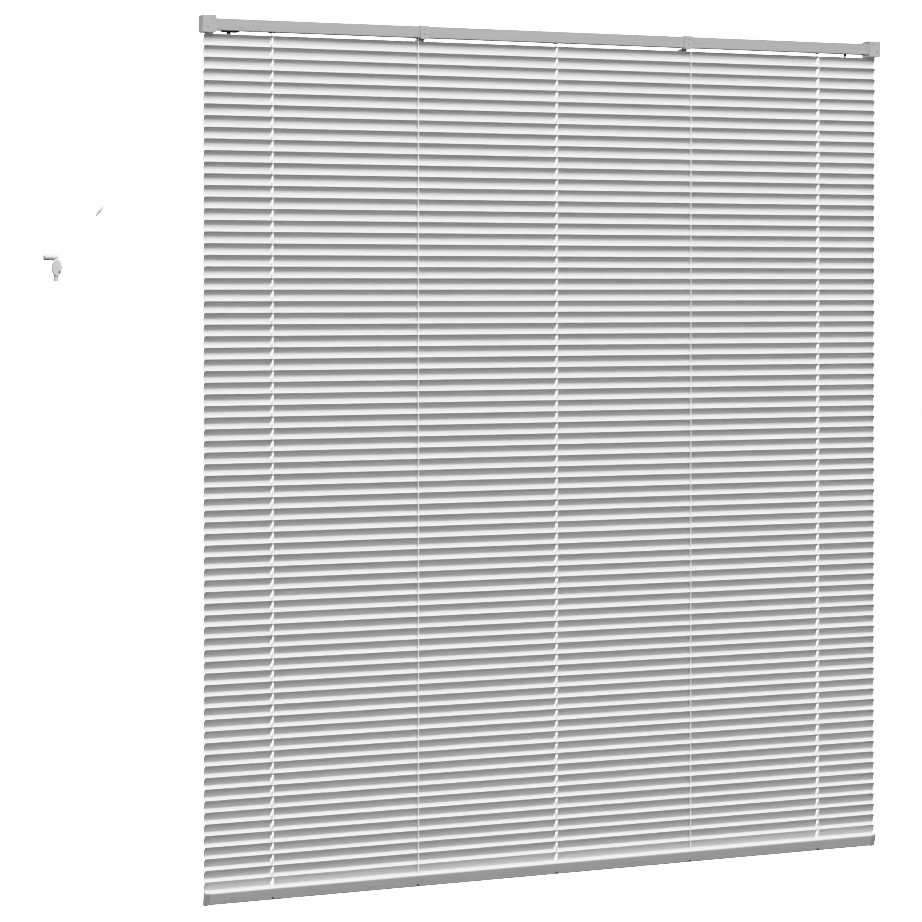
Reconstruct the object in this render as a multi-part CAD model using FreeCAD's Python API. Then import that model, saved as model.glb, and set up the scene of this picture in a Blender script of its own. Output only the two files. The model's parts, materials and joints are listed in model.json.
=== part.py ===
import FreeCAD, Part
import math
import os

# Venetian blind, 1400 x 1600 mm, hung on its wall brackets with the slats closed.
# Frame: origin midway between the upper screw holes of the two end brackets, on the wall plane.
# +Y points from the wall into the room, +Z up, +X along the headrail away from the cord lock.

# ---- driving dimensions, mm and degrees ----
overall_width = 1400.0
slat_count = 74
jointed_slats = 24
slat_pitch = 20.96
slat_width = 25.0
slat_crown = 3.0
slat_thickness = 0.45
slat_length = 1390.0
closed_tilt = 72.0
blind_y = 14.1
first_slat_z = -36.2

rail_depth = 25.0
rail_height = 21.5
rail_wall = 0.8
rail_lip = 3.0
rail_top = 3.0
rail_bottom = rail_top - rail_height
rail_back = blind_y - rail_depth / 2
rail_front = blind_y + rail_depth / 2

bracket_wall = 1.2
bracket_width = 26.0
bracket_depth = 28.0
bracket_top = 8.5
bracket_bottom = -23.0
screw_hole_r = 2.25
gap = 0.3

ladder_x = (-565.0, -282.5, 0.0, 282.5, 565.0)
lift_x = (-565.0, 0.0, 565.0)
string_r = 0.5
lift_cord_r = 0.6
lift_cord_y = blind_y + 2.0
front_string_y = blind_y - 5.2
back_string_y = blind_y + 5.2

rod_z = -9.6
rod_across_flats = 5.0
rod_gap = 0.05
drum_r = 5.4
journal_r = 4.0
tilter_x = 634.0
worm_slope = 30.0
wheel_r = 4.1
worm_r = 2.1
wheel_teeth = 15
wand_y = 33.0
wand_length = 720.0

lock_x = -642.0
lock_half = 16.0
bottom_rail_width = 28.5
bottom_rail_thickness = 10.0
bottom_rail_length = 1370.0
bottom_rail_wall = 1.2
bottom_cap_length = 10.0
bottom_rail_z = first_slat_z - slat_pitch * (slat_count - 1) - 18.4

strand_r = 0.9
pull_cord_r = 0.8

V = FreeCAD.Vector
X_AXIS = V(1, 0, 0)
Y_AXIS = V(0, 1, 0)
Z_AXIS = V(0, 0, 1)

tilt = math.radians(closed_tilt)
# Closed slat section: along the chord to the upper edge, and out of the crowned face.
chord = V(0, -math.cos(tilt), math.sin(tilt))
crown = V(0, math.sin(tilt), math.cos(tilt))


# ---- shape helpers ----
def box(x0, x1, y0, y1, z0, z1):
    return Part.makeBox(x1 - x0, y1 - y0, z1 - z0, V(x0, y0, z0))


def rod_between(start, end, radius):
    run = end - start
    return Part.makeCylinder(radius, run.Length, start, run)


def tube_between(start, end, outer, inner):
    run = end - start
    reach = run.normalize() * 1.0
    return rod_between(start, end, outer).cut(rod_between(start - reach, end + reach, inner))


def prism_x(points, x0, x1):
    """Closed outline of (y, z) points run from x0 to x1."""
    corners = [V(x0, y, z) for y, z in points]
    face = Part.Face(Part.makePolygon(corners + corners[:1]))
    return face.extrude(V(x1 - x0, 0, 0))


def hexagon_x(centre_y, centre_z, across_flats, x0, x1):
    radius = across_flats / math.sqrt(3)
    turns = [math.radians(60 * i + 30) for i in range(6)]
    outline = [(centre_y + radius * math.cos(a), centre_z + radius * math.sin(a)) for a in turns]
    return prism_x(outline, x0, x1)


def place(pivot_z, along, out):
    """Point of a tilting piece's section: along its chord and out of its crowned face."""
    return V(0, blind_y, pivot_z) + chord * along + crown * out


def section_prism(wire, length):
    return Part.Face(wire).extrude(V(length, 0, 0))


def arc(a, b, c):
    return Part.Arc(a, b, c).toShape()


def line(a, b):
    return Part.LineSegment(a, b).toShape()


def cord_tube(points, radius, name):
    """Tube along straight runs joined by tangent arcs as large as the runs allow."""
    edges = []
    at = points[0]
    for before, corner, after in zip(points, points[1:], points[2:]):
        come = corner - before
        go = after - corner
        shorter = min(come.Length, go.Length)
        turn = come.getAngle(go)
        back = 0.45 * shorter
        bend = back / math.tan(turn / 2)
        print(name, "bend radius", round(bend, 1))
        come.normalize()
        go.normalize()
        enter = corner - come * back
        leave = corner + go * back
        inward = (go - come).normalize()
        middle = corner + inward * (bend / math.cos(turn / 2) - bend)
        edges += [line(at, enter), arc(enter, middle, leave)]
        at = leave
    edges.append(line(at, points[-1]))
    path = Part.Wire(edges)
    start_run = points[1] - points[0]
    circle = Part.Wire(Part.Circle(points[0], start_run, radius).toShape())
    tube = path.makePipeShell([circle], True, False)
    expected = math.pi * radius**2 * path.Length
    print(name, "length", round(path.Length, 1), "volume ratio", round(tube.Volume / expected, 4))
    return tube


def write(name, *solids):
    shape = solids[0] if len(solids) == 1 else Part.makeCompound(list(solids))
    assert shape.isValid(), name
    shape.exportStep("parts/" + name + ".step")


os.makedirs("parts", exist_ok=True)


# ---- slats ----
def slat_section(pivot_z):
    """Crowned sheet: two concentric arcs, with the pivot midway between chord and crown."""
    half = slat_width / 2
    radius = (half**2 + slat_crown**2) / (2 * slat_crown)
    half_angle = math.asin(half / radius)
    inner = radius - slat_thickness
    drop = radius - slat_crown

    def on(r, angle):
        return place(pivot_z, r * math.sin(angle), r * math.cos(angle) - drop)

    outer_arc = arc(on(radius, -half_angle), on(radius, 0), on(radius, half_angle))
    inner_arc = arc(on(inner, -half_angle), on(inner, 0), on(inner, half_angle))
    ends = [
        line(on(radius, -half_angle), on(inner, -half_angle)),
        line(on(radius, half_angle), on(inner, half_angle)),
    ]
    return Part.Wire(Part.__sortEdges__([outer_arc, inner_arc, *ends]))


def cord_slot(x, pivot_z):
    """Cutter for the obround slot that a lift cord runs through."""
    half_run = 5.1
    slot_r = 1.8
    depth = crown * 12
    ends = [place(pivot_z, s * half_run, -4) + V(x, 0, 0) for s in (-1, 1)]
    rounds = [Part.makeCylinder(slot_r, 12, end, crown) for end in ends]
    side = V(slot_r, 0, 0)
    corners = [ends[0] - side, ends[0] + side, ends[1] + side, ends[1] - side]
    middle = Part.Face(Part.makePolygon(corners + corners[:1])).extrude(depth)
    return middle.fuse(rounds)


def slat(number):
    pivot_z = first_slat_z - slat_pitch * (number - 1)
    sheet = section_prism(slat_section(pivot_z), slat_length)
    sheet.translate(V(-slat_length / 2, 0, 0))
    return sheet.cut([cord_slot(x, pivot_z) for x in lift_x])


for number in range(1, jointed_slats + 1):
    write("slat_%02d" % number, slat(number))
write("slats_lower", *[slat(number) for number in range(jointed_slats + 1, slat_count + 1)])


# ---- headrail ----
rail_end = overall_width / 2 - bracket_wall - 0.3 - 1.0
slot_half_x = 3.5
slot_y = (blind_y - 8.0, blind_y + 8.0)


def worm_point(distance):
    """Point on the tilter's stem axis, measured down from beside the worm wheel."""
    slope = math.radians(worm_slope)
    reach = wheel_r + worm_r + gap
    beside = V(tilter_x, blind_y + reach * math.cos(slope), rod_z + reach * math.sin(slope))
    return beside + V(0, math.sin(slope), -math.cos(slope)) * distance


stem_ball = worm_point((wand_y - worm_point(0).y) / math.sin(math.radians(worm_slope)))


def headrail():
    outline = [
        (rail_back, rail_top),
        (rail_back, rail_bottom),
        (rail_front, rail_bottom),
        (rail_front, rail_top),
        (rail_front - rail_lip, rail_top),
        (rail_front - rail_lip, rail_top - rail_wall),
        (rail_front - rail_wall, rail_top - rail_wall),
        (rail_front - rail_wall, rail_bottom + rail_wall),
        (rail_back + rail_wall, rail_bottom + rail_wall),
        (rail_back + rail_wall, rail_top - rail_wall),
        (rail_back + rail_lip, rail_top - rail_wall),
        (rail_back + rail_lip, rail_top),
    ]
    low, high = rail_bottom - 1, rail_bottom + rail_wall + 1
    cuts = [box(x - slot_half_x, x + slot_half_x, *slot_y, low, high) for x in ladder_x]
    cuts.append(rod_between(worm_point(4), worm_point(30), 3.4))
    cuts.append(box(lock_x - 11, lock_x + 11, blind_y + 2, rail_front + 1, low, rail_bottom + 3.2))
    return prism_x(outline, -rail_end, rail_end).cut(cuts)


write("headrail", headrail())


def headrail_end_cap(side):
    """Plate on the rail's end, with a shallow block that plugs into the channel."""
    plate = box(rail_end, rail_end + 1.0, rail_back, rail_front, rail_bottom, rail_top)
    fit = rail_wall + 0.15
    plug = box(
        rail_end - 6, rail_end, rail_back + fit, rail_front - fit, rail_bottom + fit, rail_top - fit
    )
    hollow = box(
        rail_end - 7, rail_end - 0.8, rail_back + 3, rail_front - 3, rail_bottom + 3, rail_top + 1
    )
    cap = plate.fuse(plug).cut(hollow).removeSplitter()
    return cap if side > 0 else cap.mirror(V(0, 0, 0), X_AXIS)


write("headrail_end_caps", headrail_end_cap(-1), headrail_end_cap(1))


# ---- tilt rod, ladder drums and their cradles ----
rod_half = 672.0
write("tilt_rod", hexagon_x(blind_y, rod_z, rod_across_flats, -rod_half, rod_half))


def on_rod(x):
    return V(x, blind_y, rod_z)


def rod_bore(x0, x1):
    return hexagon_x(blind_y, rod_z, rod_across_flats + 2 * rod_gap, x0, x1)


def ladder_drum(x):
    barrel = rod_between(on_rod(x - 6.0), on_rod(x + 6.0), drum_r)
    journal = rod_between(on_rod(x - 9.2), on_rod(x + 9.2), journal_r)
    flanges = [rod_between(on_rod(x + s), on_rod(x + s + 1.0), drum_r + 0.9) for s in (-6.0, 5.0)]
    return barrel.fuse([journal, *flanges]).cut(rod_bore(x - 10, x + 10))


write("ladder_drums", *[ladder_drum(x) for x in ladder_x])


def rod_cradle(x):
    """Open-topped bearing that snaps into the rail's floor and guides the ladder cords."""
    floor = rail_bottom + rail_wall + 0.1
    inside = (rail_back + rail_wall + 0.3, rail_front - rail_wall - 0.3)
    base = box(x - 9.5, x + 9.5, *inside, floor, floor + 1.2)
    cheeks = [box(x + s, x + s + 1.6, *inside, floor, rod_z + 7) for s in (-8.8, 7.2)]
    snout = box(x - 3.2, x + 3.2, slot_y[0] + 0.3, slot_y[1] - 0.3, rail_bottom - 1.2, floor + 0.6)
    flange = box(x - 4.6, x + 4.6, slot_y[0] - 1.2, slot_y[1] + 1.2, rail_bottom - 1.2, rail_bottom - 0.1)
    throat = box(x - 2.2, x + 2.2, slot_y[0] + 1.3, slot_y[1] - 1.3, rail_bottom - 3, floor + 3)
    bearing = rod_between(on_rod(x - 10), on_rod(x + 10), journal_r + 0.06)
    well = rod_between(on_rod(x - 7.2), on_rod(x + 7.2), drum_r + 1.3)
    return base.fuse([*cheeks, snout, flange]).cut([throat, bearing, well])


write("rod_cradles", *[rod_cradle(x) for x in ladder_x])


# ---- tilter ----
def worm_wheel():
    """Toothed wheel on the tilt rod."""
    blank = rod_between(on_rod(tilter_x - 3), on_rod(tilter_x + 3), wheel_r)
    notches = []
    for i in range(wheel_teeth):
        angle = 2 * math.pi * i / wheel_teeth
        centre = V(tilter_x - 4, blind_y + wheel_r * math.cos(angle), rod_z + wheel_r * math.sin(angle))
        notches.append(Part.makeCylinder(0.35, 8, centre, X_AXIS))
    return blank.cut(notches).cut(rod_bore(tilter_x - 4, tilter_x + 4))


write("worm_wheel", worm_wheel())


def tilter_stem():
    """Worm, stem and the ball on its lower end, on one sloping axis."""
    worm = rod_between(worm_point(-5), worm_point(5), worm_r)
    grooves = []
    for i in range(6):
        at = -4.2 + 1.6 * i
        grooves.append(tube_between(worm_point(at), worm_point(at + 0.8), worm_r + 1, worm_r - 0.5))
    stem_end = (stem_ball - worm_point(0)).Length
    stem = rod_between(worm_point(5), worm_point(stem_end), 1.4)
    return worm.cut(grooves).fuse([stem, Part.makeSphere(2.2, stem_ball)])


write("tilter_stem", tilter_stem())


def tilter_housing():
    """Block in the rail around the worm and wheel, with a sloping collar for the stem."""
    inner = rail_wall + 0.2
    lip_clear = rail_top - rail_wall - 0.4
    block = box(
        tilter_x - 13, tilter_x + 13, rail_back + inner, rail_front - inner, rail_bottom + inner, rail_top
    )
    block = block.cut(box(tilter_x - 14, tilter_x + 14, rail_back, rail_back + 4, lip_clear, rail_top + 1))
    lip_room = box(tilter_x - 14, tilter_x + 14, rail_front - 4, rail_front, lip_clear, rail_top + 1)
    block = block.cut(lip_room)
    collar = rod_between(worm_point(5), worm_point(17), 3.1)
    cavities = [
        rod_between(on_rod(tilter_x - 14), on_rod(tilter_x + 14), 3.1),
        rod_between(on_rod(tilter_x - 3.4), on_rod(tilter_x + 3.4), wheel_r + 0.35),
        rod_between(worm_point(-5.6), worm_point(5.6), worm_r + 0.3),
        rod_between(worm_point(5), worm_point(18), 1.5),
    ]
    return block.fuse(collar).cut(cavities)


write("tilter_housing", tilter_housing())

pin_drop = 10.5
pin_point = stem_ball - V(0, 0, pin_drop)


def wand_coupler():
    """Cup around the stem's ball, with a neck and the eye that the wand hangs from."""
    shell = Part.makeSphere(3.7, stem_ball).cut(Part.makeSphere(2.4, stem_ball))
    x, y, z = stem_ball
    cup = shell.cut(box(x - 5, x + 5, y - 5, y + 5, z, z + 5))
    neck = rod_between(stem_ball - V(0, 0, 3.0), stem_ball - V(0, 0, pin_drop - 2), 1.3)
    eye = rod_between(pin_point - X_AXIS * 1.0, pin_point + X_AXIS * 1.0, 2.8)
    bore = rod_between(pin_point - X_AXIS * 2, pin_point + X_AXIS * 2, 1.05)
    return cup.fuse([neck, eye]).cut(bore)


write("wand_coupler", wand_coupler())


def wand():
    """Clear hexagonal rod under a forked head with its cross pin."""
    x, y, z = pin_point
    top = z - 4.0
    ears = [box(x + s, x + s + 1.4, y - 2.6, y + 2.6, top - 3, z + 2.4) for s in (-2.7, 1.3)]
    head = rod_between(V(x, y, top), V(x, y, top - 12), 4.6)
    pin = rod_between(pin_point - X_AXIS * 2.7, pin_point + X_AXIS * 2.7, 1.0)
    return head.fuse([*ears, pin])


def wand_bar():
    x, y, z = pin_point
    top = z - 16.0
    corners = [math.radians(60 * i) for i in range(6)]
    outline = [V(x + 3.6 * math.cos(a), y + 3.6 * math.sin(a), top) for a in corners]
    face = Part.Face(Part.makePolygon(outline + outline[:1]))
    return face.extrude(V(0, 0, -wand_length))


def wand_grip():
    """Ribbed sleeve closed over the wand's lower end."""
    x, y, z = pin_point
    low = z - 16.0 - wand_length
    sleeve = rod_between(V(x, y, low - 3), V(x, y, low + 50), 5.0)
    bore = rod_between(V(x, y, low), V(x, y, low + 51), 3.65)
    ribs = [
        tube_between(V(x, y, low + 4 + 5 * i), V(x, y, low + 5.6 + 5 * i), 6.0, 4.7) for i in range(9)
    ]
    return sleeve.cut(bore).cut(ribs)


write("wand_head", wand())
write("wand_bar", wand_bar())
write("wand_grip", wand_grip())


# ---- cord lock ----
lock_nose = (rail_front + 0.4, rail_front + 9.4)
lock_nose_z = (rail_bottom - 4.0, rail_bottom + 9.0)
cam_point = V(lock_x, rail_front + 5.2, rail_bottom + 2.0)


def cord_lock_housing():
    """Block in the rail and a nose in front of it that the pull cords leave through."""
    inner = rail_wall + 0.2
    block = box(
        lock_x - lock_half,
        lock_x + lock_half,
        rail_back + inner,
        rail_front - inner,
        rail_bottom + inner,
        rail_bottom + 11,
    )
    block = block.cut(rod_between(on_rod(lock_x - 20), on_rod(lock_x + 20), 3.4))
    bridge = box(lock_x - 10, lock_x + 10, blind_y + 3, lock_nose[1], rail_bottom - 1.4, rail_bottom + 2.6)
    flange_x = (lock_x - lock_half, lock_x + lock_half)
    flange = box(*flange_x, blind_y + 3, lock_nose[1], rail_bottom - 1.6, rail_bottom - 0.2)
    nose = box(lock_x - 9, lock_x + 9, *lock_nose, rail_bottom - 1.6, lock_nose_z[1])
    tabs = box(lock_x - 3, lock_x + 3, *lock_nose, lock_nose_z[0], rail_bottom - 1.0)
    mouth_y = (lock_nose[0] + 1.4, lock_nose[1] - 1.2)
    mouth = box(lock_x - 6.4, lock_x + 6.4, *mouth_y, lock_nose_z[0] - 1, 20)
    return block.fuse([bridge, flange, nose, tabs]).cut([mouth])


write("cord_lock_housing", cord_lock_housing())


def cord_lock_cam():
    """Grooved roller that pinches the cords, eccentric on its pin."""
    half = X_AXIS * 5.8
    roller = Part.makeCylinder(2.4, 11.6, cam_point - half + V(0, 0.3, 0.3), X_AXIS)
    grooves = []
    for i in range(4):
        at = cam_point + V(-4.6 + 2.6 * i, 0.3, 0.3)
        grooves.append(tube_between(at, at + X_AXIS * 1.3, 4.0, 2.1))
    return roller.cut(grooves).cut(rod_between(cam_point - X_AXIS * 8, cam_point + X_AXIS * 8, 1.05))


write("cord_lock_cam", cord_lock_cam())
write("cord_lock_pin", rod_between(cam_point - X_AXIS * 6.4, cam_point + X_AXIS * 6.4, 1.0))


# ---- brackets ----
bracket_edge = overall_width / 2
hinge_z = bracket_top - 2.0
hinge_y = bracket_depth + 1.6
upper_hole_in = 18.5
lower_hole_in = 9.5
lower_hole_z = -14.5


def end_bracket(side):
    """Open box for the rail's end: wall plate, side plate, floor and roof, and hinge knuckles."""
    outer, inner = bracket_edge, bracket_edge - bracket_width
    wall = bracket_wall
    lower_hole = V(outer - lower_hole_in, 0, lower_hole_z)
    back = box(inner, outer, 0, wall, bracket_bottom, bracket_top)
    end = box(outer - wall, outer, 0, bracket_depth, bracket_bottom, bracket_top)
    floor = box(inner, outer, 0, bracket_depth, bracket_bottom, bracket_bottom + wall)
    roof = box(inner, outer, 0, bracket_depth, bracket_top - wall, bracket_top)
    holes = [
        rod_between(V(outer - upper_hole_in, -1, 0), V(outer - upper_hole_in, 3, 0), screw_hole_r),
        rod_between(lower_hole - Y_AXIS, lower_hole + Y_AXIS * 3, screw_hole_r),
        rod_between(V(outer - 3, 9, 0), V(outer + 1, 9, 0), screw_hole_r),
        rod_between(V(outer - 3, 19, lower_hole_z), V(outer + 1, 19, lower_hole_z), screw_hole_r),
    ]
    knuckles = []
    for x in (inner + 1.0, outer - 6.0):
        eye = rod_between(V(x, hinge_y, hinge_z), V(x + 5.0, hinge_y, hinge_z), 1.9)
        strap = box(x, x + 5.0, bracket_depth - 1.0, hinge_y, hinge_z + 0.8, hinge_z + 1.9)
        knuckles.append(eye.fuse(strap))
    bore = rod_between(V(inner, hinge_y, hinge_z), V(outer, hinge_y, hinge_z), 0.8)
    shape = back.fuse([end, floor, roof, *knuckles]).cut([*holes, bore])
    return shape if side > 0 else shape.mirror(V(0, 0, 0), X_AXIS)


def bracket_cover(side):
    """Gate over the bracket's room side, hung on its own pin along the top edge."""
    outer, inner = bracket_edge, bracket_edge - bracket_width
    face_y = bracket_depth + 0.4
    plate = box(inner, outer, face_y, face_y + 1.2, bracket_bottom, hinge_z - 2.6)
    eye = rod_between(V(inner + 6.4, hinge_y, hinge_z), V(outer - 6.4, hinge_y, hinge_z), 1.7)
    strap = box(inner + 6.4, outer - 6.4, face_y, face_y + 1.2, hinge_z - 3, hinge_z)
    pin = rod_between(V(inner + 1.2, hinge_y, hinge_z), V(outer - 1.2, hinge_y, hinge_z), 0.75)
    shape = plate.fuse([strap, eye, pin])
    return shape if side > 0 else shape.mirror(V(0, 0, 0), X_AXIS)


write("end_bracket_left", end_bracket(-1))
write("end_bracket_right", end_bracket(1))
write("bracket_cover_left", bracket_cover(-1))
write("bracket_cover_right", bracket_cover(1))

centre_x = 273.0
centre_half = 8.0
lever_pivot_y = 22.0
centre_top = rail_top + bracket_wall + 0.4
centre_bottom = rail_bottom - bracket_wall - 1.4
centre_hole_z = (-3.3, -13.2)


def centre_bracket(x):
    """Wall plate with a roof strap that hooks over the rail and a floor tab for the lever."""
    wall = bracket_wall
    left, right = x - centre_half, x + centre_half
    back = box(left, right, 0, wall, centre_bottom, centre_top)
    roof = box(left, right, 0, rail_front + 2.2, centre_top - wall, centre_top)
    hook = box(left, right, rail_front + 1.0, rail_front + 2.2, centre_top - 5, centre_top)
    floor = box(left, right, 0, lever_pivot_y + 4, centre_bottom, centre_bottom + wall)
    post_top = V(x, lever_pivot_y, centre_bottom + 0.6)
    post = rod_between(post_top - Z_AXIS * 3.6, post_top, 1.5)
    holes = [rod_between(V(x, -1, z), V(x, 3, z), screw_hole_r) for z in centre_hole_z]
    return back.fuse([roof, hook, floor, post]).cut(holes)


write("centre_brackets", centre_bracket(-centre_x), centre_bracket(centre_x))


def centre_lever(x):
    """Swivelling catch under the rail, turned on the floor tab's post."""
    top = centre_bottom - 0.3
    half = 7.5
    hub = rod_between(V(x, lever_pivot_y, top - 1.6), V(x, lever_pivot_y, top), 4.0)
    arm = box(x - half, x + half, lever_pivot_y + 1, rail_front + 7.5, top - 1.6, top)
    tip = box(x - half, x + half, rail_front + 6.0, rail_front + 7.5, top - 1.6, top + 1.4)
    bore = rod_between(V(x, lever_pivot_y, top - 4), V(x, lever_pivot_y, top + 1), 1.56)
    return hub.fuse([arm, tip]).cut(bore)


write("centre_lever_left", centre_lever(-centre_x))
write("centre_lever_right", centre_lever(centre_x))


# ---- bottom rail ----
def rounded_section(x, width, thickness, corner):
    """Rounded rectangle across a tilting piece's chord, as a closed wire at x."""
    half_u, half_v = width / 2, thickness / 2
    shift = V(x, 0, 0)
    inset = corner * (1 - math.sqrt(0.5))
    edges = []
    for su, sv in ((1, 1), (1, -1), (-1, -1), (-1, 1)):
        ends = [(su * (half_u - corner), sv * half_v), (su * half_u, sv * (half_v - corner))]
        a, b = ends if su * sv > 0 else ends[::-1]
        m = (su * (half_u - inset), sv * (half_v - inset))
        a, m, b = [place(bottom_rail_z, *p) + shift for p in (a, m, b)]
        if edges:
            edges.append(line(edges[-1].Vertexes[-1].Point, a))
        edges.append(arc(a, m, b))
    edges.append(line(edges[-1].Vertexes[-1].Point, edges[0].Vertexes[0].Point))
    return Part.Wire(edges)


def across(x0, x1, u0, u1, v0, v1):
    """Block in the tilted frame of the bottom rail."""
    outline = ((u0, v0), (u1, v0), (u1, v1), (u0, v1))
    corners = [place(bottom_rail_z, u, v) + V(x0, 0, 0) for u, v in outline]
    return Part.Face(Part.makePolygon(corners + corners[:1])).extrude(V(x1 - x0, 0, 0))


half_rail = bottom_rail_length / 2
rail_corner = 4.4
plug_u = -8.2


def bottom_rail():
    """Rounded hollow strip, closed by a seam that runs as a groove along its upper edge."""
    wall = bottom_rail_wall
    width, thickness = bottom_rail_width, bottom_rail_thickness
    outer = section_prism(rounded_section(-half_rail, width, thickness, rail_corner), bottom_rail_length)
    inner = rounded_section(-half_rail - 1, width - 2 * wall, thickness - 2 * wall, rail_corner - wall)
    hollow = section_prism(inner, bottom_rail_length + 2)
    front = -thickness / 2
    top = width / 2
    groove = across(-half_rail - 1, half_rail + 1, top - 0.8, top + 1, -2.2, 0.2)
    plug_holes = []
    for x in ladder_x:
        at = place(bottom_rail_z, plug_u, front - 1) + V(x, 0, 0)
        plug_holes.append(Part.makeCylinder(2.0, 3, at, crown))
    return outer.cut([hollow, groove, *plug_holes])


write("bottom_rail", bottom_rail())


def bottom_end_cap(side):
    """Cap that plugs into the rail's end, a little deeper than the rail."""
    width, thickness = bottom_rail_width, bottom_rail_thickness
    cap = section_prism(rounded_section(half_rail, width + 1.2, thickness + 0.3, 4.5), bottom_cap_length)
    fit = bottom_rail_wall + 0.2
    inner = rounded_section(half_rail - 12, width - 2 * fit, thickness - 2 * fit, rail_corner - fit)
    plug = section_prism(inner, 12.5)
    shape = cap.fuse(plug)
    return shape if side > 0 else shape.mirror(V(0, 0, 0), X_AXIS)


write("bottom_rail_end_caps", bottom_end_cap(-1), bottom_end_cap(1))


def cord_plug(x):
    """Small dark button that holds the cord ends in the bottom rail."""
    front = -bottom_rail_thickness / 2
    start = place(bottom_rail_z, plug_u, front - 0.5) + V(x, 0, 0)
    shank = Part.makeCylinder(1.9, 3.4, start, crown)
    inside = place(bottom_rail_z, plug_u, front + bottom_rail_wall + 0.2) + V(x, 0, 0)
    button = Part.makeCylinder(2.4, 1.6, inside, crown)
    return shank.fuse(button)


write("bottom_rail_plugs", *[cord_plug(x) for x in ladder_x])


# ---- ladders and lift cords ----
front_top, front_end = rod_z - 4.0, bottom_rail_z + 14.4
back_top, back_end = rod_z - 4.0, bottom_rail_z + 3.4
lift_end = bottom_rail_z + 17.0


def vertical(x, y, top, end, radius):
    return rod_between(V(x, y, end), V(x, y, top), radius)


write("ladder_front", *[vertical(x, front_string_y, front_top, front_end, string_r) for x in ladder_x])
write("ladder_back", *[vertical(x, back_string_y, back_top, back_end, string_r) for x in ladder_x])
write("lift_cords", *[vertical(x, lift_cord_y, rail_bottom + 1.5, lift_end, lift_cord_r) for x in lift_x])

# ---- pull cords, their connector and the wall clip ----
strand_near = [V(-647.5, 32.0, -23.0), V(-764.5, 24.1, -184.5), V(-880.5, 15.6, -337.5)]
strand_far = [V(-639.5, 32.0, -23.0), V(-760.0, 24.1, -185.5), V(-878.3, 15.6, -339.2)]
single_route = [V(-892.6, 14.4, -355.2), V(-927.0, 12.2, -393.6), V(-961.0, 10.4, -428.4)]

write("pull_strand_near", cord_tube(strand_near, strand_r, "pull_strand_near"))
write("pull_strand_far", cord_tube(strand_far, strand_r, "pull_strand_far"))
write("pull_cord", cord_tube(single_route, pull_cord_r, "pull_cord"))


def cord_connector():
    """Tapered joiner between the two strands and the single cord."""
    top = V(-879.6, 15.5, -338.6)
    low = V(-892.4, 14.5, -354.8)
    run = low - top
    length = run.Length
    upper = Part.makeCone(3.0, 4.2, length * 0.45, top, run)
    lower = Part.makeCone(4.2, 2.2, length * 0.55, top + run * 0.45, run)
    return upper.fuse(lower)


write("cord_connector", cord_connector())

clip_y = 10.2
sleeve_x = (-987.0, -962.0)
sleeve_z = -429.0
body_x = -965.0
body_z = -447.5


def clip_sleeve():
    """Short tube across the clip's head, open at its outer end."""
    start, end = V(sleeve_x[0], clip_y, sleeve_z), V(sleeve_x[1], clip_y, sleeve_z)
    bore = rod_between(start - X_AXIS, end - X_AXIS * 4, 5.2)
    return rod_between(start, end, 6.4).cut(bore)


def oval_plate(width, height, thickness):
    """Upright oval on the wall plane, centred on the clip's body."""
    oval = Part.Ellipse(V(0, 0, 0), height / 2, width / 2).toShape()
    plate = Part.Face(Part.Wire(oval)).extrude(V(0, 0, thickness))
    plate.rotate(V(0, 0, 0), Y_AXIS, 90)
    plate.rotate(V(0, 0, 0), Z_AXIS, 90)
    plate.translate(V(body_x, 0, body_z))
    return plate


def clip_body():
    """Oval plate with the socket for its wall peg low down."""
    plate = oval_plate(19.0, 31.0, 9.0)
    rim = plate.makeFillet(1.6, [e for e in plate.Edges if e.Curve.TypeId == "Part::GeomEllipse"])
    peg = V(body_x + 3.4, 0, body_z - 7.5)
    hole = rod_between(peg - Y_AXIS, peg + Y_AXIS * 6.5, 1.75)
    seat = rod_between(V(sleeve_x[0], clip_y, sleeve_z), V(sleeve_x[1] + 9, clip_y, sleeve_z), 6.6)
    return rim.cut([hole, seat])


def clip_stub():
    """Round foot under the clip."""
    top = body_z - 10.0
    foot = rod_between(V(body_x - 1, 5.0, top), V(body_x - 1, 5.0, body_z - 25.0), 4.6)
    return foot.cut(oval_plate(19.2, 31.2, 12.0))


write("clip_sleeve", clip_sleeve())
write("clip_body", clip_body())
write("clip_stub", clip_stub())
print("pin point", pin_point, "ball", stem_ball, "bottom rail", bottom_rail_z)
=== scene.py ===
"""Venetian blind, closed, seen from its wall side. Metres, +Y into the room, +Z up."""
import json
import math
import random

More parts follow.
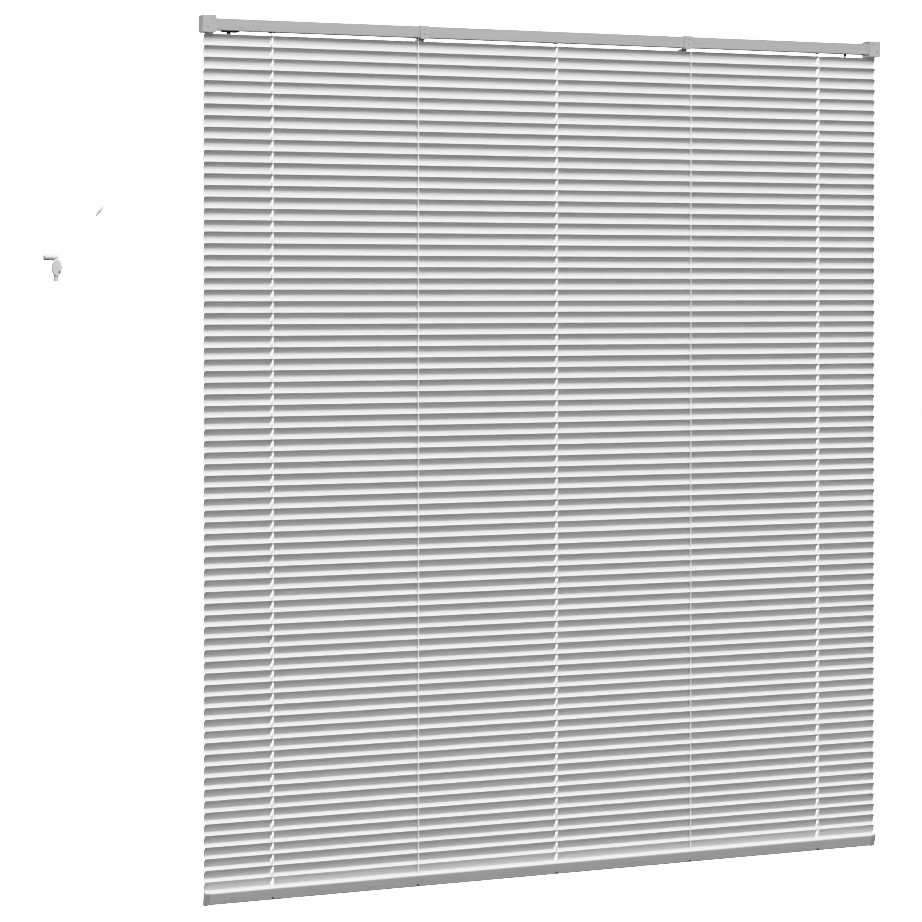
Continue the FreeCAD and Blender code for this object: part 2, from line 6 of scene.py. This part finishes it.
import bpy
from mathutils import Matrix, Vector


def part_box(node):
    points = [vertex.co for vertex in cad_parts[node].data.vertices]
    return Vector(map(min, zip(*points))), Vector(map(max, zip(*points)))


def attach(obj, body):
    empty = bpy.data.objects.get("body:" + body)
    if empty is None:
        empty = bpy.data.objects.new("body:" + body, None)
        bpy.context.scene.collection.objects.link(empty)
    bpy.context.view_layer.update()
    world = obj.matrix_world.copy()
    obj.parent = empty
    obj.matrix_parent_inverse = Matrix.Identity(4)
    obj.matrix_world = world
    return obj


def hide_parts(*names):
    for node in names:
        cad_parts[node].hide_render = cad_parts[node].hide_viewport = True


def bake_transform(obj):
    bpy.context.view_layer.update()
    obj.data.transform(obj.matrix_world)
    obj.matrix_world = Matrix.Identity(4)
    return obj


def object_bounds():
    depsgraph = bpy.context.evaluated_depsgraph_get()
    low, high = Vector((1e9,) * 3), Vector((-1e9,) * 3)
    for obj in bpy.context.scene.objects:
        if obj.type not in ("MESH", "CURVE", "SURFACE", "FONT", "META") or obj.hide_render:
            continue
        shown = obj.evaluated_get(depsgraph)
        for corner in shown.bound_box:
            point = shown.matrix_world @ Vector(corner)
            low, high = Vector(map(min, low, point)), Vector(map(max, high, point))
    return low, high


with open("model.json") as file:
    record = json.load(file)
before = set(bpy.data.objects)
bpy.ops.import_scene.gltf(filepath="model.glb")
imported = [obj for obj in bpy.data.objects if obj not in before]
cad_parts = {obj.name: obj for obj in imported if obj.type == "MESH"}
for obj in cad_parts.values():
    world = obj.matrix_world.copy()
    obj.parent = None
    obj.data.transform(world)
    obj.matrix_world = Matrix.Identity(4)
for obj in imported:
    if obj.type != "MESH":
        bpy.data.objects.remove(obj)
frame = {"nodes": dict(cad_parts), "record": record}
CAD_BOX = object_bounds()

# ---- sizes, in metres, repeated from the solids ----
SLATS = 74
JOINTED = 24
PITCH = 0.02096
SLAT_WIDTH = 0.025
SLAT_CROWN = 0.003
SLAT_SHEET = 0.0003
CLOSED_TILT = math.radians(72)
LADDERS = (-0.565, -0.2825, 0.0, 0.2825, 0.565)
LIFTS = (-0.565, 0.0, 0.565)
STRING_R = 0.0007
LIFT_R = 0.0007
SLEEVE_Y = 0.0102
SLEEVE_Z = -0.429
SLEEVE_INSIDE_R = 0.0054

slat_low, slat_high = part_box("slat_01")
SLAT_LENGTH = slat_high[0] - slat_low[0]
string_low, string_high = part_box("ladder_front")
back_low, back_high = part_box("ladder_back")
BLIND_Y = (string_low[1] + back_high[1]) / 2
FRONT_Y = (string_low[1] + string_high[1]) / 2
BACK_Y = (back_low[1] + back_high[1]) / 2
# The pivot lies midway between a slat's two edges.
FIRST_Z = slat_high[2] - SLAT_WIDTH / 2 * math.sin(CLOSED_TILT)

HALF = SLAT_WIDTH / 2
ARC_R = (HALF**2 + SLAT_CROWN**2) / (2 * SLAT_CROWN)

rng = random.Random(7)


# ---- materials ----
class Nodes:
    """Short way to build one material's nodes."""

    def __init__(self, name):
        self.material = bpy.data.materials.new(name)
        self.material.use_nodes = True
        self.tree = self.material.node_tree
        self.shader = self.tree.nodes["Principled BSDF"]

    def add(self, kind, **inputs):
        node = self.tree.nodes.new(kind)
        for key, value in inputs.items():
            node.inputs[key.replace("_", " ")].default_value = value
        return node

    def link(self, source, target):
        self.tree.links.new(source, target)

    def set(self, **values):
        for key, value in values.items():
            self.shader.inputs[key.replace("_", " ")].default_value = value

    def place(self, scale):
        """Object coordinates, stretched by scale."""
        coordinates = self.add("ShaderNodeTexCoord")
        mapping = self.add("ShaderNodeMapping", Scale=scale)
        self.link(coordinates.outputs["Object"], mapping.inputs["Vector"])
        return mapping.outputs["Vector"]

    def noise(self, scale, stretch=(1, 1, 1), detail=3.0):
        node = self.add("ShaderNodeTexNoise", Scale=scale, Detail=detail)
        self.link(self.place(stretch), node.inputs["Vector"])
        return node.outputs["Fac"]

    def ramp(self, factor, low, high, start=0.3, end=0.7):
        node = self.add("ShaderNodeValToRGB")
        node.color_ramp.elements[0].position = start
        node.color_ramp.elements[1].position = end
        node.color_ramp.elements[0].color = low
        node.color_ramp.elements[1].color = high
        self.link(factor, node.inputs["Fac"])
        return node.outputs["Color"]

    def bump(self, height, strength, distance):
        node = self.add("ShaderNodeBump", Strength=strength, Distance=distance)
        self.link(height, node.inputs["Height"])
        self.link(node.outputs["Normal"], self.shader.inputs["Normal"])


def grey(value, tint=(1.0, 1.0, 1.0)):
    return (value * tint[0], value * tint[1], value * tint[2], 1.0)


def enamel(name, value, tint, roughness, grain):
    """Satin paint on rolled metal: faint streaks along the strip and a fine orange peel."""
    n = Nodes(name)
    streaks = n.noise(60, (0.15, 6, 6))
    paint = n.ramp(streaks, grey(value * 0.95, tint), grey(value * 1.04, tint))
    n.link(paint, n.shader.inputs["Base Color"])
    sheen = n.noise(14, (0.4, 5, 5))
    n.link(n.ramp(sheen, grey(roughness * 0.85), grey(roughness * 1.15)), n.shader.inputs["Roughness"])
    n.set(IOR=1.5)
    n.bump(n.noise(900, detail=2.0), grain, 0.0002)
    return n.material


def moulded(name, value, tint, roughness):
    """Moulded plastic with a fine spark-eroded grain."""
    n = Nodes(name)
    cloud = n.noise(35)
    colour = n.ramp(cloud, grey(value * 0.9, tint), grey(value * 1.08, tint))
    n.link(colour, n.shader.inputs["Base Color"])
    fine = n.noise(1800, detail=4.0)
    sheen = n.ramp(fine, grey(roughness * 0.85), grey(min(1.0, roughness * 1.2)))
    n.link(sheen, n.shader.inputs["Roughness"])
    n.bump(fine, 0.25, 0.0002)
    return n.material


def braided(name, value, pitch):
    """White braided cord: two crossed sets of slanting plaits, with painted shade in the grooves
    between them.
    """
    n = Nodes(name)
    bands = []
    for slant in (1.0, -1.0):
        wave = n.add("ShaderNodeTexWave", Scale=1.0, Distortion=0.4)
        wave.bands_direction = "DIAGONAL"
        n.link(n.place((slant / pitch, slant / pitch, 0.5 / pitch)), wave.inputs["Vector"])
        bands.append(wave.outputs["Fac"])
    mix = n.add("ShaderNodeMath")
    mix.operation = "MULTIPLY"
    n.link(bands[0], mix.inputs[0])
    n.link(bands[1], mix.inputs[1])
    # Base colour darker where the bump is low, between the plaits: painted shade.
    plaits = n.ramp(mix.outputs[0], grey(value * 0.82), grey(value), 0.0, 0.6)
    n.link(plaits, n.shader.inputs["Base Color"])
    n.set(Roughness=0.75)
    n.bump(mix.outputs[0], 0.5, 0.0003)
    return n.material


def drawn_steel(name):
    n = Nodes(name)
    lines = n.noise(200, (0.02, 4, 4))
    n.link(n.ramp(lines, grey(0.42), grey(0.62)), n.shader.inputs["Base Color"])
    n.link(n.ramp(lines, grey(0.22), grey(0.38)), n.shader.inputs["Roughness"])
    n.set(Metallic=1.0)
    return n.material


def clear_acrylic(name):
    """Clear extruded bar, with faint draw lines along it."""
    n = Nodes(name)
    lines = n.noise(300, (5, 5, 0.05))
    n.link(n.ramp(lines, grey(0.04), grey(0.14)), n.shader.inputs["Roughness"])
    n.set(Base_Color=(0.93, 0.96, 0.97, 1.0), Transmission_Weight=0.9, IOR=1.49)
    return n.material


SLAT_PAINT = enamel("slat_enamel", 0.70, (1.0, 1.0, 1.012), 0.32, 0.10)
RAIL_PAINT = enamel("rail_enamel", 0.31, (1.0, 0.985, 1.01), 0.38, 0.15)
BRACKET_PAINT = enamel("bracket_enamel", 0.33, (1.0, 0.985, 1.01), 0.36, 0.15)
# Painted light: the rail enamel again, but much lighter (0.54 against 0.31), so that the bottom rail
# shows brighter.
LIGHTENED_FOOT_PAINT = enamel("bottom_rail_enamel_lightened", 0.54, (1.0, 0.985, 1.01), 0.38, 0.15)
GREY_PLASTIC = moulded("grey_moulded", 0.46, (1.0, 0.99, 1.0), 0.5)
# Black moulded plastic for the black parts, also used as painted shade inside the clip sleeve's bore.
BLACK_PLASTIC_AND_BORE_SHADE = moulded("black_moulded_and_bore_shade", 0.022, (1.0, 1.0, 1.05), 0.45)
WHITE_PLASTIC = moulded("white_moulded", 0.78, (1.0, 0.99, 0.97), 0.45)
CORD_WHITE = braided("braided_cord", 0.88, 0.0022)
STEEL = drawn_steel("drawn_steel")
ACRYLIC = clear_acrylic("clear_acrylic")

FINISHES = {
    "slat": SLAT_PAINT,
    "rail_paint": RAIL_PAINT,
    "bracket_paint": BRACKET_PAINT,
    "grey_plastic": GREY_PLASTIC,
    "black_plastic": BLACK_PLASTIC_AND_BORE_SHADE,
    "white_plastic": WHITE_PLASTIC,
    "clear_plastic": ACRYLIC,
    "steel": STEEL,
    "white_cord": CORD_WHITE,
}


def paint_bore_shade(node, y, z, radius):
    """Painted shade: the inside faces of a tube that runs along X at y, z get the black moulded
    plastic, standing in for the shade in its bore.
    """
    node.data.materials.append(BLACK_PLASTIC_AND_BORE_SHADE)
    for face in node.data.polygons:
        centre = node.matrix_world @ face.center
        if math.hypot(centre.y - y, centre.z - z) < radius:
            face.material_index = 1


def finish_cad_nodes():
    for row in frame["record"]["subparts"]:
        node = frame["nodes"][row["node"]]
        finish = FINISHES[row["material_slot"]]
        # The bottom rail gets the lighter copy of the rail enamel: painted light.
        if row["node"] == "bottom_rail":
            finish = LIGHTENED_FOOT_PAINT
        node.data.materials.clear()
        node.data.materials.append(finish)
    # The clip sleeve's bore is painted black as shade.
    paint_bore_shade(frame["nodes"]["clip_sleeve"], SLEEVE_Y, SLEEVE_Z, SLEEVE_INSIDE_R)


# ---- mesh helpers ----
SHARP_ANGLE = math.radians(40)


def make_object(name, points, faces, material):
    mesh = bpy.data.meshes.new(name)
    mesh.from_pydata([tuple(p) for p in points], [], faces)
    mesh.materials.append(material)
    mesh.shade_smooth()
    mesh.set_sharp_from_angle(angle=SHARP_ANGLE)
    obj = bpy.data.objects.new(name, mesh)
    bpy.context.scene.collection.objects.link(obj)
    return obj


def thicken(top, bottom, faces):
    """Closed sheet from two matching sets of points and the faces of one side."""
    n = len(top)
    # A dict keeps the order of the edges, so that each run gives the same mesh.
    used = {}
    for face in faces:
        for a, b in zip(face, face[1:] + face[:1]):
            used[(a, b)] = True
    rim = [(b, a, a + n, b + n) for a, b in used if (b, a) not in used]
    under = [tuple(i + n for i in reversed(face)) for face in faces]
    return top + bottom, [tuple(f) for f in faces] + under + rim


def tube(path, radius, sides=8):
    """Points and faces of a round tube along a path that does not run along X."""
    points, faces = [], []
    for i, at in enumerate(path):
        ahead = path[min(i + 1, len(path) - 1)] - path[max(i - 1, 0)]
        ahead.normalize()
        side = Vector((1, 0, 0))
        up = ahead.cross(side)
        for k in range(sides):
            angle = 2 * math.pi * k / sides
            points.append(at + side * (radius * math.cos(angle)) + up * (radius * math.sin(angle)))
    for i in range(len(path) - 1):
        for k in range(sides):
            a, b = i * sides + k, i * sides + (k + 1) % sides
            faces.append((a, b, b + sides, a + sides))
    last = (len(path) - 1) * sides
    faces.append(tuple(range(sides))[::-1])
    faces.append(tuple(last + k for k in range(sides)))
    return points, faces


def joined(parts):
    points, faces = [], []
    for part_points, part_faces in parts:
        base = len(points)
        points += part_points
        faces += [tuple(i + base for i in face) for face in part_faces]
    return points, faces


# ---- slats ----
SLOT_HALF_RUN = 0.0051
SLOT_R = 0.0018
PATCH_X = 0.005
PATCH_U = 0.009
PATCH_COLUMNS = 4
CORNER_R = 0.004
CORNER_STEPS = 4
EDGE_SEARCH_STEPS = 24
TILT_SCATTER = 0.5  # degrees
RUNG_R = 0.0003
RUNG_GAP = 0.00025
RUNG_REACH = 0.96
RUNG_HALF_STEPS = 4
RUNG_FRONT_DROP = 0.0002
RUNG_BACK_RISE = 0.0006
RUNG_SPREAD = 0.0008
RUNG_SPREAD_AT_LIFT = 0.0013


def slat_height(u):
    """Crown above the chord at u across it."""
    return math.sqrt(ARC_R**2 - u**2) - (ARC_R - SLAT_CROWN)


def slat_grid():
    """Flat plan of a slat as (x, u) points and faces: a grid with rounded corners and cord slots."""
    half = SLAT_LENGTH / 2
    columns = []
    for i in range(CORNER_STEPS + 1):
        columns.append(-half + CORNER_R * (1 - math.cos(math.pi / 2 * i / CORNER_STEPS)))
    slots = []
    for x in LIFTS:
        slots.append(len(columns) + 1)
        columns += [x + PATCH_X * step for step in (-2, -1, -0.5, 0, 0.5, 1, 2)]
    columns += [-c for c in columns[CORNER_STEPS::-1]]
    rows = [-HALF, -HALF * 0.9, -PATCH_U, -0.006, -0.003, 0.0, 0.003, 0.006, PATCH_U, HALF * 0.9, HALF]
    points = []
    for x in columns:
        near = max(0.0, abs(x) - (half - CORNER_R))
        limit = HALF - CORNER_R + math.sqrt(max(0.0, CORNER_R**2 - near**2))
        points += [(x, u * limit / HALF) for u in rows]
    high = len(rows)
    low_row, high_row = rows.index(-PATCH_U), rows.index(PATCH_U)
    inside = set()
    for first in slots:
        patch = range(first, first + PATCH_COLUMNS)
        inside |= {(c, r) for c in patch for r in range(low_row, high_row)}
    faces = []
    for c in range(len(columns) - 1):
        for r in range(high - 1):
            if (c, r) not in inside:
                here, beside = c * high + r, (c + 1) * high + r
                faces.append([here, beside, beside + 1, here + 1])
    for first, x in zip(slots, LIFTS):
        last = first + PATCH_COLUMNS
        border = [(first, r) for r in range(low_row, high_row)]
        border += [(c, high_row) for c in range(first, last)]
        border += [(last, r) for r in range(high_row, low_row, -1)]
        border += [(c, low_row) for c in range(last, first, -1)]
        outer = [c * high + r for c, r in border]
        inner = []
        for i in outer:
            inner.append(len(points))
            points.append(slot_edge(x, points[i]))
        for k in range(len(outer)):
            m = (k + 1) % len(outer)
            faces.append([outer[m], outer[k], inner[k], inner[m]])
    return points, faces


def slot_edge(x, corner):
    """Where the line from a slot's centre to a point of its patch crosses the obround's edge."""
    dx, du = corner[0] - x, corner[1]
    low, high = 0.0, 1.0
    for _ in range(EDGE_SEARCH_STEPS):
        t = (low + high) / 2
        over = max(0.0, abs(du * t) - SLOT_HALF_RUN)
        if math.hypot(dx * t, over) < SLOT_R:
            low = t
        else:
            high = t
    return (x + dx * low, du * low)


def slat_points(plan, pivot, chord, crown, offset):
    at = []
    for x, u in plan:
        angle = math.asin(u / ARC_R)
        radius = ARC_R - offset
        along = radius * math.sin(angle)
        out = radius * math.cos(angle) - (ARC_R - SLAT_CROWN)
        at.append(pivot + Vector((x, 0, 0)) + chord * along + crown * out)
    return at


def turned(angle):
    """Chord and crown directions of a slat that hangs a little off the nominal tilt."""
    tilt = CLOSED_TILT + angle
    return Vector((0, -math.cos(tilt), math.sin(tilt))), Vector((0, math.sin(tilt), math.cos(tilt)))


def follow_ladder(obj, number):
    """A jointed slat's piece rides on its body. A lower one is baked in place where it hangs."""
    if number <= JOINTED:
        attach(obj, "slat_%02d" % number)
        return
    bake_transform(obj)


def rung(pivot, chord, crown, x):
    """Cord that crosses under a slat, from the ladder's front string to its back one."""
    clear = SLAT_SHEET + RUNG_R + RUNG_GAP
    path = [Vector((x, FRONT_Y, pivot.z + HALF * chord.z - RUNG_FRONT_DROP))]
    for i in range(2 * RUNG_HALF_STEPS + 1):
        u = HALF * RUNG_REACH * (1 - i / RUNG_HALF_STEPS)
        height = slat_height(u) - clear
        path.append(pivot + Vector((x, 0, 0)) + chord * u + crown * height)
    path.append(Vector((x, BACK_Y, pivot.z - HALF * chord.z + RUNG_BACK_RISE)))
    return tube(path, RUNG_R, 6)


def build_slats():
    plan, faces = slat_grid()
    for number in range(1, SLATS + 1):
        pivot = Vector((0, BLIND_Y, FIRST_Z - PITCH * (number - 1)))
        chord, crown = turned(math.radians(rng.uniform(-TILT_SCATTER, TILT_SCATTER)))
        top = slat_points(plan, pivot, chord, crown, 0.0)
        under = slat_points(plan, pivot, chord, crown, SLAT_SHEET)
        points, sheet_faces = thicken(top, under, faces)
        sheet = make_object("slat_sheet_%02d" % number, points, sheet_faces, SLAT_PAINT)
        if number <= JOINTED:
            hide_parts("slat_%02d" % number)
        elif number == JOINTED + 1:
            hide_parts("slats_lower")
        follow_ladder(sheet, number)
        rungs = []
        for x in LADDERS:
            spread = RUNG_SPREAD_AT_LIFT if x in LIFTS else RUNG_SPREAD
            rungs += [rung(pivot, chord, crown, x + side * spread) for side in (-1, 1)]
        cords = make_object("ladder_rungs_%02d" % number, *joined(rungs), CORD_WHITE)
        follow_ladder(cords, number)


# ---- ladder strings and lift cords ----
CORD_STEPS = 80


def straight_cord(name, node, body, x, y, span, radius):
    """White cord over a span of heights, in place of one of a CAD node's cords."""
    low, top = span
    path = [Vector((x, y, low + (top - low) * i / CORD_STEPS)) for i in range(CORD_STEPS + 1)]
    obj = make_object(name, *tube(path, radius), CORD_WHITE)
    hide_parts(node)
    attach(obj, body)


def build_strings():
    front_span = (string_low[2], string_high[2])
    back_span = (back_low[2], back_high[2])
    for number, x in enumerate(LADDERS, 1):
        for side, y, span in (("front", FRONT_Y, front_span), ("back", BACK_Y, back_span)):
            body = "ladder_" + side
            straight_cord("%s_string_%d" % (side, number), body, body, x, y, span, STRING_R)
    low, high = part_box("lift_cords")
    middle = (low[1] + high[1]) / 2
    span = (low[2], high[2])
    for number, x in enumerate(LIFTS, 1):
        straight_cord("lift_cord_%d" % number, "lift_cords", "root", x, middle, span, LIFT_R)


# ---- pull cords ----
STRAND_NEAR = [(-0.6475, 0.032, -0.023), (-0.7645, 0.0241, -0.1845), (-0.8805, 0.0156, -0.3375)]
STRAND_FAR = [(-0.6395, 0.032, -0.023), (-0.760, 0.0241, -0.1855), (-0.8783, 0.0156, -0.3392)]
PULL_CORD = [(-0.8926, 0.0144, -0.3552), (-0.927, 0.0122, -0.3936), (-0.961, 0.0104, -0.4284)]


def nurbs_cord(name, route, diameter):
    curve = bpy.data.curves.new(name, "CURVE")
    curve.dimensions = "3D"
    spline = curve.splines.new("NURBS")
    spline.points.add(len(route) - 1)
    for point, at in zip(spline.points, route):
        point.co = (*at, 1.0)
    spline.order_u = 3
    spline.use_endpoint_u = True
    spline.resolution_u = 24
    curve.bevel_depth = diameter / 2
    curve.bevel_resolution = 4
    curve.use_fill_caps = True
    curve.materials.append(CORD_WHITE)
    obj = bpy.data.objects.new(name, curve)
    bpy.context.scene.collection.objects.link(obj)
    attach(obj, "root")
    return obj


def build_pull_cords():
    near = nurbs_cord("near_strand", STRAND_NEAR, 0.0018)
    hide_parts("pull_strand_near")
    far = nurbs_cord("far_strand", STRAND_FAR, 0.0018)
    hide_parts("pull_strand_far")
    single = nurbs_cord("single_pull_cord", PULL_CORD, 0.0016)
    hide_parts("pull_cord")


# ---- studio ----
BACKDROP_WHITE = 8.0
FLOOR_DROP = 0.45
FLOOR_REACH = 60.0


def build_stage():
    """Pale floor well below the blind. It gives the blind no light and is not mirrored in it."""
    low = CAD_BOX[0][2] - FLOOR_DROP
    corners = [(FLOOR_REACH * x, FLOOR_REACH * y, low) for x, y in ((-1, -1), (1, -1), (1, 1), (-1, 1))]
    n = Nodes("studio_floor")
    n.set(Base_Color=grey(0.95), Roughness=0.95)
    n.set(Emission_Color=grey(1.0), Emission_Strength=BACKDROP_WHITE)
    floor = make_object("floor", corners, [(0, 1, 2, 3)], n.material)
    floor.visible_diffuse = False
    floor.visible_glossy = False


def build_world():
    """White surround, much dimmer from below so that the slats' undersides keep their shade."""
    world = bpy.data.worlds.new("studio")
    bpy.context.scene.world = world
    world.use_nodes = True
    nodes, links = world.node_tree.nodes, world.node_tree.links
    background = nodes["Background"]
    coordinates = nodes.new("ShaderNodeTexCoord")
    split = nodes.new("ShaderNodeSeparateXYZ")
    ramp = nodes.new("ShaderNodeValToRGB")
    shift = nodes.new("ShaderNodeMapRange")
    shift.inputs["From Min"].default_value = -1.0
    links.new(coordinates.outputs["Generated"], split.inputs[0])
    links.new(split.outputs["Z"], shift.inputs["Value"])
    links.new(shift.outputs[0], ramp.inputs["Fac"])
    ramp.color_ramp.elements[0].position = 0.41
    ramp.color_ramp.elements[0].color = grey(0.03)
    ramp.color_ramp.elements[1].position = 0.50
    ramp.color_ramp.elements[1].color = grey(1.15)
    path = nodes.new("ShaderNodeLightPath")
    seen = nodes.new("ShaderNodeMix")
    seen.data_type = "RGBA"
    amount, lit_by, looked_at = seen.inputs[0], seen.inputs[6], seen.inputs[7]
    shown = seen.outputs[2]
    looked_at.default_value = grey(BACKDROP_WHITE)
    links.new(path.outputs["Is Camera Ray"], amount)
    links.new(ramp.outputs["Color"], lit_by)
    links.new(shown, background.inputs["Color"])
    background.inputs["Strength"].default_value = 1.0


def area_light(name, at, aim, size, power):
    light = bpy.data.lights.new(name, "AREA")
    light.shape = "DISK"
    light.size = size
    light.energy = power
    obj = bpy.data.objects.new(name, light)
    obj.location = at
    obj.rotation_euler = (Vector(aim) - Vector(at)).to_track_quat("-Z", "Y").to_euler()
    bpy.context.scene.collection.objects.link(obj)


CASTS_NO_KEY_SHADOW = (
    "headrail", "headrail_end_caps", "end_bracket_left", "end_bracket_right", "centre_brackets",
    "cord_lock_housing", "cord_lock_cam", "cord_lock_pin", "tilter_housing", "rod_cradles",
    "centre_lever_left", "centre_lever_right", "ladder_drums",
)


def key_light(at, power):
    """Small high lamp of even strength. The headrail and its fittings cast no shadow from it."""
    lamp = bpy.data.lights.new("key", "POINT")
    lamp.energy = power
    lamp.shadow_soft_size = 0.05
    lamp.use_nodes = True
    nodes, links = lamp.node_tree.nodes, lamp.node_tree.links
    falloff = nodes.new("ShaderNodeLightFalloff")
    links.new(falloff.outputs["Constant"], nodes["Emission"].inputs["Strength"])
    falloff.inputs["Strength"].default_value = 1.0
    obj = bpy.data.objects.new("key", lamp)
    obj.location = at
    bpy.context.scene.collection.objects.link(obj)
    unshaded = bpy.data.collections.new("casts_no_key_shadow")
    for name in CASTS_NO_KEY_SHADOW:
        unshaded.objects.link(frame["nodes"][name])
    for member in unshaded.collection_objects:
        member.light_linking.link_state = "EXCLUDE"
    obj.light_linking.blocker_collection = unshaded


def build_lights():
    middle = (0.0, 0.0, -0.8)
    key_light(at=(-0.6, -2.15, 2.96), power=60)
    area_light("room_side", at=(2.5, 4.5, 1.8), aim=middle, size=3.0, power=90)


def build_camera():
    data = bpy.data.cameras.new("camera")
    data.sensor_width = 36.0
    data.lens = 102.8
    data.shift_y = -0.1686
    camera = bpy.data.objects.new("camera", data)
    camera.location = (-2.027, -4.56, -0.484)
    camera.rotation_euler = (math.radians(90 - 0.37), 0, math.radians(-21.826))
    bpy.context.scene.collection.objects.link(camera)
    bpy.context.scene.camera = camera


bpy.context.scene.view_settings.view_transform = "Khronos PBR Neutral"
build_camera()
build_pull_cords()
finish_cad_nodes()
build_slats()
build_strings()
build_stage()
build_world()
build_lights()
